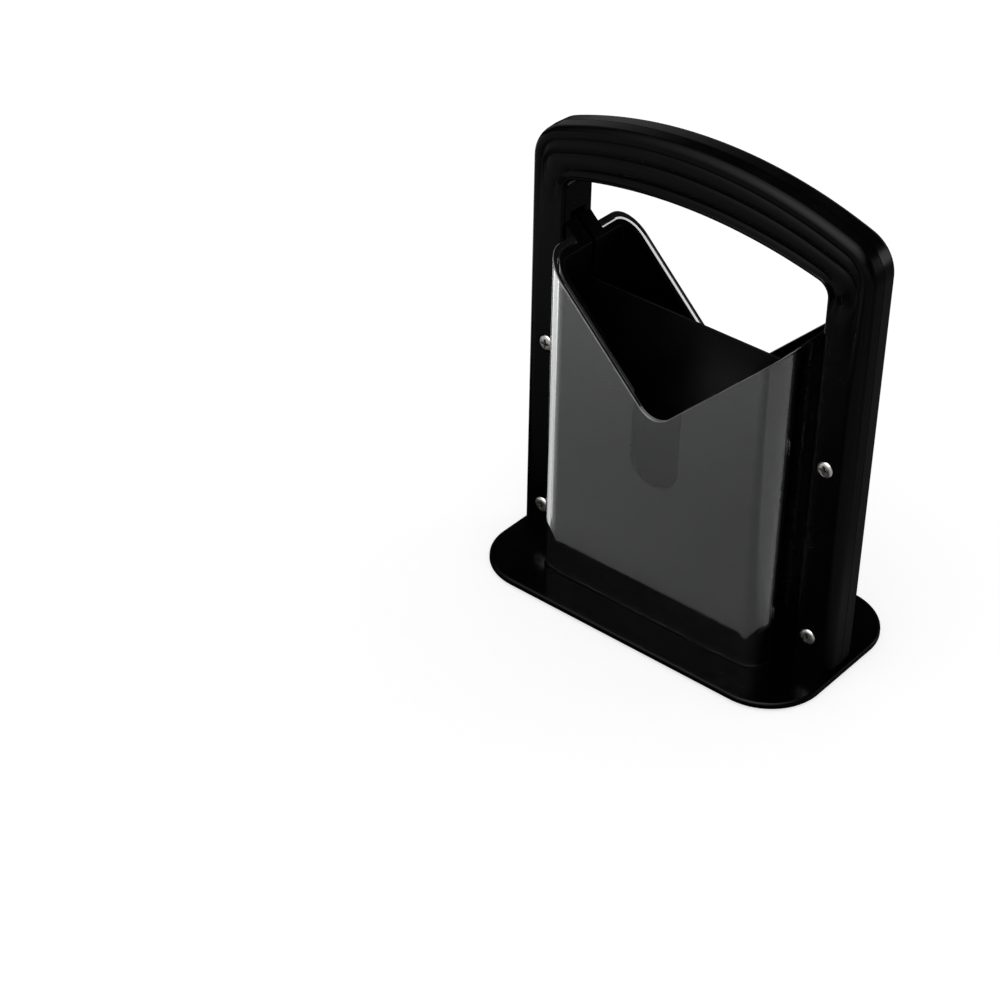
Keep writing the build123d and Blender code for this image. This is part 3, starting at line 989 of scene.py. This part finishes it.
# %% Blade
blade_low, blade_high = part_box("blade")
edge_rise = 11.0 * mm
edge_half_length = 72.6 * mm
grind_height = 7.0 * mm
grind_blur_below = 0.3 * mm
grind_blur_above = 0.1 * mm
clean_coating = (0.0025, 0.0025, 0.0027, 1)
dusty_coating = (0.008, 0.008, 0.0083, 1)
ground_steel = (0.60, 0.60, 0.61, 1)


def make_blade_steel():
    """Dark coated steel that is bare and bright where its slanting edge is ground."""
    material, tree, shader = new_material("coated_steel_blade")
    where = add_node(tree, "ShaderNodeTexCoord").outputs["Object"]
    parts = add_node(tree, "ShaderNodeSeparateXYZ", Vector=where).outputs
    slant = multiply(tree, math_node(tree, "ABSOLUTE", parts["X"]), edge_rise / edge_half_length)
    height = math_node(tree, "SUBTRACT", parts["Z"], slant)
    edge = blade_low.z + grind_height
    ground = map_range(tree, height, edge - grind_blur_below, edge + grind_blur_above, 1.0, 0.0)
    lines = add_group(tree, hairlines, Across_Scale=60.0, Along_Scale=2600.0, Amount=0.04)
    marks = add_group(tree, handling_marks, Scale=35.0, Amount=0.15)
    dark = mix_colours(tree, marks, clean_coating, dusty_coating)
    feed_inputs(tree, shader, Base_Color=mix_colours(tree, ground, dark, ground_steel), Metallic=ground,
                Roughness=math_node(tree, "SUBTRACT", add(tree, marks, 0.34), lines), Specular_IOR_Level=0.12)
    face = add_group(tree, moulded_face, Wave_Scale=20.0, Grain_Scale=3000.0, Grain_Share=0.5)
    add_bump(tree, shader, face, 0.01 * mm)
    return material


set_material(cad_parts["blade"], make_blade_steel())
print("blade from", round(blade_low.z / mm, 1), "to", round(blade_high.z / mm, 1), "mm")

# %% [markdown]
# Four pan head screws with a cross recess hold the two shells and clamp the blade between them. They
# repeat, so a Geometry Nodes tree makes them: a grid of rings is bent into a domed head, two crossed blocks
# are cut out of it, a shank is added, and the whole is placed on four points. Its sizes are inputs of the
# tree.

# %% Screw tree
head_rings = 15
head_turns = 49
dome_share = 0.8
dome_power = 4.0
dome_fall = 0.5
edge_fall = 2.5
ring_power = 0.8
facing_front = (math.pi / 2, 0, 0)


def screw_head(tree, source):
    """A pan head: the rows of a grid become rings, domed over most of the way and steep at the edge."""
    grid = add_node(tree, "GeometryNodeMeshGrid", Size_X=1.0, Size_Y=1.0, Vertices_X=head_rings,
                    Vertices_Y=head_turns)
    spot = add_node(tree, "GeometryNodeInputPosition").outputs[0]
    split = add_node(tree, "ShaderNodeSeparateXYZ", Vector=spot).outputs
    outwards = add(tree, split["X"], 0.5)
    angle = multiply(tree, split["Y"], 2 * math.pi)
    over_edge = math_node(tree, "MAXIMUM", math_node(tree, "SUBTRACT", outwards, dome_share))
    on_top = math_node(tree, "MINIMUM", math_node(tree, "DIVIDE", outwards, dome_share), 1.0)
    fall = multiply(tree, math_node(tree, "POWER", on_top, dome_power), dome_fall)
    drop = add(tree, fall, multiply(tree, over_edge, edge_fall))
    height = multiply(tree, math_node(tree, "SUBTRACT", 1.0, drop), source["Head Height"])
    radius = multiply(tree, math_node(tree, "POWER", on_top, ring_power), source["Head Radius"])
    x = multiply(tree, radius, math_node(tree, "COSINE", angle))
    y = multiply(tree, radius, math_node(tree, "SINE", angle))
    bent = vector(tree, x, y, height)
    bend = add_node(tree, "GeometryNodeSetPosition", Geometry=grid.outputs["Mesh"], Position=bent)
    close = add_node(tree, "GeometryNodeMergeByDistance", Geometry=bend.outputs[0], Distance=weld_distance)
    return close.outputs[0]


def screw_shank(tree, source):
    """A plain round shank that starts at the underside of the head."""
    rod = add_node(tree, "GeometryNodeMeshCylinder", Vertices=head_turns - 1, Radius=source["Shank Radius"],
                   Depth=source["Shank Length"])
    down = vector(tree, z=multiply(tree, source["Shank Length"], -0.5))
    return add_node(tree, "GeometryNodeTransform", Geometry=rod.outputs["Mesh"], Translation=down).outputs[0]


def recess_arm(tree, source, width, length):
    """A block across the top of the head, one arm of the cross recess."""
    size = vector(tree, source[width], source[length], multiply(tree, source["Recess Depth"], 2.0))
    arm = add_node(tree, "GeometryNodeMeshCube", Size=size)
    lift = vector(tree, z=source["Head Height"])
    return add_node(tree, "GeometryNodeTransform", Geometry=arm.outputs["Mesh"], Translation=lift).outputs[0]


def make_screw_tree():
    """Pan head screws on the four corners of a grid, with the heads facing the front."""
    tree = bpy.data.node_groups.new("pan_head_screws", "GeometryNodeTree")
    new_socket = tree.interface.new_socket
    for way in ("INPUT", "OUTPUT"):
        new_socket("Geometry", in_out=way, socket_type="NodeSocketGeometry")
    for label in ("Head Radius", "Head Height", "Recess Length", "Recess Width", "Recess Depth",
                  "Shank Radius", "Shank Length", "Across", "Up", "Middle Height", "Seat Depth"):
        new_socket(label, in_out="INPUT", socket_type="NodeSocketFloat").default_value = 1 * mm
    new_socket("Material", in_out="INPUT", socket_type="NodeSocketMaterial")
    source = tree.nodes.new("NodeGroupInput").outputs
    cut = tree.nodes.new("GeometryNodeMeshBoolean")
    cut.operation = "DIFFERENCE"
    cut.solver = "EXACT"
    feed(tree, cut.inputs["Mesh 1"], screw_head(tree, source))
    feed(tree, cut.inputs["Mesh 2"], recess_arm(tree, source, "Recess Width", "Recess Length"))
    feed(tree, cut.inputs["Mesh 2"], recess_arm(tree, source, "Recess Length", "Recess Width"))
    whole = tree.nodes.new("GeometryNodeJoinGeometry")
    feed(tree, whole.inputs[0], cut.outputs["Mesh"])
    feed(tree, whole.inputs[0], screw_shank(tree, source))
    screw = add_node(tree, "GeometryNodeTransform", Geometry=whole.outputs[0], Rotation=facing_front)
    corners = add_node(tree, "GeometryNodeMeshGrid", Size_X=source["Across"], Size_Y=source["Up"],
                       Vertices_X=2, Vertices_Y=2)
    middle = vector(tree, 0.0, source["Seat Depth"], source["Middle Height"])
    seats = add_node(tree, "GeometryNodeTransform", Geometry=corners.outputs["Mesh"], Translation=middle,
                     Rotation=facing_front)
    put = add_node(tree, "GeometryNodeInstanceOnPoints", Points=seats.outputs[0], Instance=screw.outputs[0])
    real = add_node(tree, "GeometryNodeRealizeInstances", Geometry=put.outputs["Instances"])
    paint = add_node(tree, "GeometryNodeSetMaterial", Geometry=real.outputs[0], Material=source["Material"])
    feed(tree, tree.nodes.new("NodeGroupOutput").inputs[0], paint.outputs[0])
    return tree


screw_tree = make_screw_tree()
print("screw tree", len(screw_tree.nodes), "nodes")

# %% [markdown]
# The screws are nickel plated steel, bright but a little worn. Their recesses lie in their own shade, so
# the faces inside them get a duller, darker finish. The tree runs on an empty mesh, and each of its inputs
# is set by its identifier before the object is first evaluated, because after that a change can pass
# unnoticed.

# %% Bright screws
def make_bright_steel(name, colour, gloss):
    """Plated steel: bright, with faint turning lines and duller patches."""
    material, tree, shader = new_material(name)
    marks = add_group(tree, handling_marks, Scale=220.0, Amount=0.18)
    worn = tuple(0.82 * c for c in colour) + (1,)
    feed_inputs(tree, shader, Metallic=1.0, Base_Color=mix_colours(tree, marks, colour + (1,), worn),
                Roughness=add(tree, marks, gloss))
    face = add_group(tree, moulded_face, Wave_Scale=700.0, Grain_Scale=5000.0, Grain_Share=0.5)
    add_bump(tree, shader, face, 0.01 * mm)
    return material


def run_tree(name, tree, values):
    """Runs a tree on an empty mesh object with these inputs and keeps the result as a plain mesh."""
    piece = new_object(name, bpy.data.meshes.new(name))
    change = piece.modifiers.new(name, "NODES")
    change.node_group = tree
    for item in tree.interface.items_tree:
        if item.item_type == "SOCKET" and item.in_out == "INPUT" and item.name in values:
            change[item.identifier] = values[item.name]
    return plain_mesh(piece)


nickel_steel = make_bright_steel("nickel_steel_screws", (0.80, 0.78, 0.74), 0.22)
zinc_steel = make_bright_steel("zinc_steel_screws", (0.62, 0.63, 0.66), 0.32)
recess_reach = 2.5 * mm
recess_from = 0.3 * mm
recess_to = 1.2 * mm
screws = run_tree("cross_recess_screws", screw_tree, {
    "Head Radius": screw_head_radius, "Head Height": screw_head_height, "Recess Length": 4.6 * mm,
    "Recess Width": 1.3 * mm, "Recess Depth": 1.0 * mm, "Shank Radius": 1.5 * mm, "Shank Length": 16.0 * mm,
    "Across": 2 * screw_x, "Up": screw_high - screw_low, "Middle Height": (screw_high + screw_low) / 2,
    "Seat Depth": screw_head_sunk - handle_half_depth, "Material": nickel_steel,
})
shade(screws, 40)
place(screws, "handle", "nickel_steel", nickel_steel, "handle_screws")
# Painted shade: a dark, duller copy of the nickel for the faces inside the recesses.
screws.data.materials.append(make_bright_steel("nickel_steel_recess_painted_shade", (0.06, 0.06, 0.055), 0.5))
head_top = screw_head_sunk - screw_head_height - handle_half_depth
for face in screws.data.polygons:
    away = min(math.hypot(abs(face.center.x) - screw_x, face.center.z - z) for z in (screw_low, screw_high))
    if away < recess_reach and recess_from < face.center.y - head_top < recess_to:
        face.material_index = 1
print("screw materials", len(screws.data.materials))

# %% [markdown]
# The feet and the screws under the base keep their solids: they are hidden from every usual view, and their
# shapes are right. The rubber is matte, dark and slightly speckled, and the screws are zinc plated.

# %% Feet and base screws
dark_rubber = (0.035, 0.035, 0.035, 1)
dusty_rubber = (0.11, 0.105, 0.10, 1)


def make_rubber():
    material, tree, shader = new_material("foot_rubber_matte")
    marks = add_group(tree, handling_marks, Scale=120.0, Amount=0.5)
    feed_inputs(tree, shader, Base_Color=mix_colours(tree, marks, dark_rubber, dusty_rubber),
                Roughness=add(tree, multiply(tree, marks, 0.3), 0.65))
    face = add_group(tree, moulded_face, Wave_Scale=400.0, Grain_Scale=4000.0, Grain_Share=1.0)
    add_bump(tree, shader, face, 0.05 * mm)
    return material


rubber = make_rubber()
feet = [node for name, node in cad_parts.items() if name.startswith("foot")]
for foot in feet:
    set_material(foot, rubber)
set_material(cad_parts["base_screws"], zinc_steel)
print("feet", len(feet))

# %% [markdown]
# The slicer was photographed on a white sweep, with dark surroundings that its black gloss mirrors. Here
# gloss rays see a dark floor and a dark world, with a few soft pools and glows where the photograph's
# highlights come from. Each pool is a product of ramps, a ramp being a direction, where it starts and ends
# along it, and how bright it is there. Where pools meet, the brightest counts. A Light Path node tells the
# kinds of rays apart.

# %% Pools of light
def directions(tree, where, slant):
    """X, Y and Z of a place or a way, and how far it goes along a slanting direction."""
    parts = add_node(tree, "ShaderNodeSeparateXYZ", Vector=where).outputs
    slanting = operation_node(tree, "ShaderNodeVectorMath", "DOT_PRODUCT", where, slant)["Value"]
    return {"X": parts["X"], "Y": parts["Y"], "Z": parts["Z"], "slant": slanting}


def brightest(tree, along, pools):
    """The brightest of some pools of light, each a product of ramps."""
    best = 0.0
    for ramps in pools.values():
        pool = 1.0
        for direction, *ramp in ramps:
            pool = multiply(tree, pool, map_range(tree, along[direction], *ramp))
        best = math_node(tree, "MAXIMUM", best, pool)
    return best


def seen_plainly(tree, rays):
    """One for what the camera sees, straight or through the clear plastic."""
    return math_node(tree, "MAXIMUM", rays["Is Camera Ray"], rays["Is Transmission Ray"])


# %% [markdown]
# A wide grey floor keeps the soft contact shadow, and a glow that only camera and glass rays see lifts it
# to white. A white floor would do that too, but it would also light the object from below and turn it grey.

# %% Floor
floor_half = 6.0
floor_grey = 0.55
floor_grey_in_gloss = 0.004
floor_lift = 0.66
floor_slant = (-0.8, -0.3, 0)
floor_pools = {
    "left front": [("slant", 0.03, 0.24, 0.06, 0.36), ("Y", -0.07, -0.04, 1.0, 0.0),
                   ("Y", -0.26, -0.12, 1.15, 0.6)],
    "right": [("X", 0.085, 0.125, 0.0, 0.32), ("Y", 0.0, 0.08, 1.0, 0.4)],
    "left rear": [("X", -0.10, 0.05, 1.0, 0.0), ("Y", 0.03, 0.09, 0.0, 0.9), ("Y", 0.15, 0.2, 1.0, 0.0)],
}


def make_floor():
    corners = [(x, y, 0) for x, y in rectangle(0, 0, floor_half, floor_half)]
    floor = add_object("pale_floor", corners, [(0, 1, 2, 3)])
    material, tree, shader = new_material("pale_sweep")
    rays = add_node(tree, "ShaderNodeLightPath").outputs
    where = add_node(tree, "ShaderNodeTexCoord").outputs["Object"]
    pools = brightest(tree, directions(tree, where, floor_slant), floor_pools)
    colour = mix_colours(tree, rays["Is Glossy Ray"], grey(floor_grey), grey(floor_grey_in_gloss))
    lift = multiply(tree, seen_plainly(tree, rays), floor_lift)
    glow = add(tree, lift, multiply(tree, pools, rays["Is Glossy Ray"]))
    feed_inputs(tree, shader, Base_Color=colour, Roughness=1.0, Specular_IOR_Level=0.0,
                Emission_Color=grey(1.0), Emission_Strength=glow)
    set_material(floor, material)
    print("floor", 2 * floor_half, "m wide")


make_floor()

# %% [markdown]
# The world is white for the camera and through glass, even soft light for the object, and for gloss a glow
# overhead, low in front and low behind. Two faint area lamps, one above the front and one low behind on the
# right, give the light a little direction.

# %% World and lamps
even_light = 0.6
world_slant = (-0.12, -0.41, 0.90)
world_glows = {
    "overhead": [("slant", 0.52, 1.0, 0.02, 3.6), ("X", -0.75, -0.05, 0.22, 1.0)],
    "low behind": [("Z", 0.22, 0.5, 1.0, 0.0), ("Y", 0.1, 0.5, 0.0, 0.35)],
    "low in front": [("Z", 0.22, 0.5, 1.0, 0.0), ("Y", -0.5, -0.2, 0.55, 0.0)],
}


def make_world():
    world = bpy.data.worlds.new("studio")
    bpy.context.scene.world = world
    world.use_nodes = True
    tree = world.node_tree
    rays = add_node(tree, "ShaderNodeLightPath").outputs
    way = add_node(tree, "ShaderNodeTexCoord").outputs["Generated"]
    glow = brightest(tree, directions(tree, way, world_slant), world_glows)
    even = map_range(tree, seen_plainly(tree, rays), 0.0, 1.0, even_light, 1.0)
    no_gloss = math_node(tree, "SUBTRACT", 1.0, rays["Is Glossy Ray"])
    strength = add(tree, multiply(tree, even, no_gloss), multiply(tree, glow, rays["Is Glossy Ray"]))
    feed_inputs(tree, tree.nodes["Background"], Color=grey(1.0), Strength=strength)


def make_lamp(name, stand_at, width, height, power):
    """An area lamp that faces the middle of the slicer."""
    light = bpy.data.lights.new(name, "AREA")
    light.shape = "RECTANGLE"
    light.size = width
    light.size_y = height
    light.energy = power
    lamp = new_object(name, light)
    lamp.location = stand_at
    lamp.rotation_euler = (slicer_middle - Vector(stand_at)).to_track_quat("-Z", "Y").to_euler()
    print(name, power, "W")


make_world()
slicer_middle = Vector((0, 0, 0.12))
make_lamp("top_softbox", (0.12, -0.35, 1.4), 0.9, 0.7, 1.5)
make_lamp("rear_window", (0.9, 1.2, 0.45), 0.5, 0.5, 1.5)
bpy.context.scene.view_settings.view_transform = "Standard"
